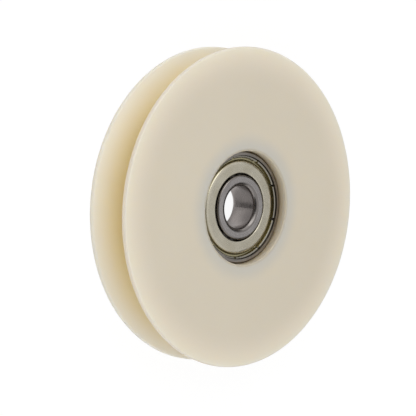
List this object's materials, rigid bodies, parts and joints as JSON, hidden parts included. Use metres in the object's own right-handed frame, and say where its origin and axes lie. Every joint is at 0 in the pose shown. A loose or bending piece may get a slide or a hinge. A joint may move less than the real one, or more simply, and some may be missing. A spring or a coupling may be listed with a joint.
{
  "type": "v groove wheel",
  "caption": "Flat plastic wheel with a V groove round its rim, running on a shielded ball bearing pressed into its middle.",
  "frame": {"origin": "centre of the wheel's rear face, at the lowest point of the part as it lies flat", "axes": "+Z along the axle's axis, from the rear face, with the bearing's shoulder, to the front face"},
  "size_m": [0.09, 0.09, 0.0145],
  "materials": {
    "nylon": "turned natural nylon, satin, slightly translucent",
    "ground_ring_steel": "ground bearing steel",
    "shield_sheet": "pressed bright sheet steel",
    "cage_sheet": "pressed sheet steel, tumbled",
    "ball_steel": "lapped bearing steel"
  },
  "bodies": {
    "inner_ring_body": {"inner_ring": "ground_ring_steel"},
    "wheel_body": {"wheel": "nylon", "outer_ring": "ground_ring_steel", "front_shield": "shield_sheet", "rear_shield": "shield_sheet"},
    "cage_body": {"cage_front": "cage_sheet", "cage_rear": "cage_sheet", "cage_rivets": "cage_sheet"},
    "ball_1_body": {"ball_1": "ball_steel"},
    "ball_2_body": {"ball_2": "ball_steel"},
    "ball_3_body": {"ball_3": "ball_steel"},
    "ball_4_body": {"ball_4": "ball_steel"},
    "ball_5_body": {"ball_5": "ball_steel"},
    "ball_6_body": {"ball_6": "ball_steel"},
    "ball_7_body": {"ball_7": "ball_steel"}
  },
  "joints": [
    {"name": "wheel_spin", "type": "hinge", "parent": "inner_ring_body", "child": "wheel_body", "pos_m": [0, 0, 0.00725], "axis": [0, 0, 1], "continuous": true},
    {"name": "cage_turn", "type": "hinge", "parent": "inner_ring_body", "child": "cage_body", "pos_m": [0, 0, 0.00725], "axis": [0, 0, 1], "continuous": true},
    {"name": "ball_1_roll", "type": "hinge", "parent": "cage_body", "child": "ball_1_body", "pos_m": [0.011, 0, 0.00725], "axis": [0, 0, 1], "continuous": true},
    {"name": "ball_2_roll", "type": "hinge", "parent": "cage_body", "child": "ball_2_body", "pos_m": [0.00686, 0.0086, 0.00725], "axis": [0, 0, 1], "continuous": true},
    {"name": "ball_3_roll", "type": "hinge", "parent": "cage_body", "child": "ball_3_body", "pos_m": [-0.00245, 0.01072, 0.00725], "axis": [0, 0, 1], "continuous": true},
    {"name": "ball_4_roll", "type": "hinge", "parent": "cage_body", "child": "ball_4_body", "pos_m": [-0.00991, 0.00477, 0.00725], "axis": [0, 0, 1], "continuous": true},
    {"name": "ball_5_roll", "type": "hinge", "parent": "cage_body", "child": "ball_5_body", "pos_m": [-0.00991, -0.00477, 0.00725], "axis": [0, 0, 1], "continuous": true},
    {"name": "ball_6_roll", "type": "hinge", "parent": "cage_body", "child": "ball_6_body", "pos_m": [-0.00245, -0.01072, 0.00725], "axis": [0, 0, 1], "continuous": true},
    {"name": "ball_7_roll", "type": "hinge", "parent": "cage_body", "child": "ball_7_body", "pos_m": [0.00686, -0.0086, 0.00725], "axis": [0, 0, 1], "continuous": true}
  ],
  "couplings": [
    {"joint": "cage_turn", "follows": "wheel_spin", "ratio": 0.6353},
    {"joint": "ball_1_roll", "follows": "wheel_spin", "ratio": 1.7125},
    {"joint": "ball_2_roll", "follows": "wheel_spin", "ratio": 1.7125},
    {"joint": "ball_3_roll", "follows": "wheel_spin", "ratio": 1.7125},
    {"joint": "ball_4_roll", "follows": "wheel_spin", "ratio": 1.7125},
    {"joint": "ball_5_roll", "follows": "wheel_spin", "ratio": 1.7125},
    {"joint": "ball_6_roll", "follows": "wheel_spin", "ratio": 1.7125},
    {"joint": "ball_7_roll", "follows": "wheel_spin", "ratio": 1.7125}
  ]
}
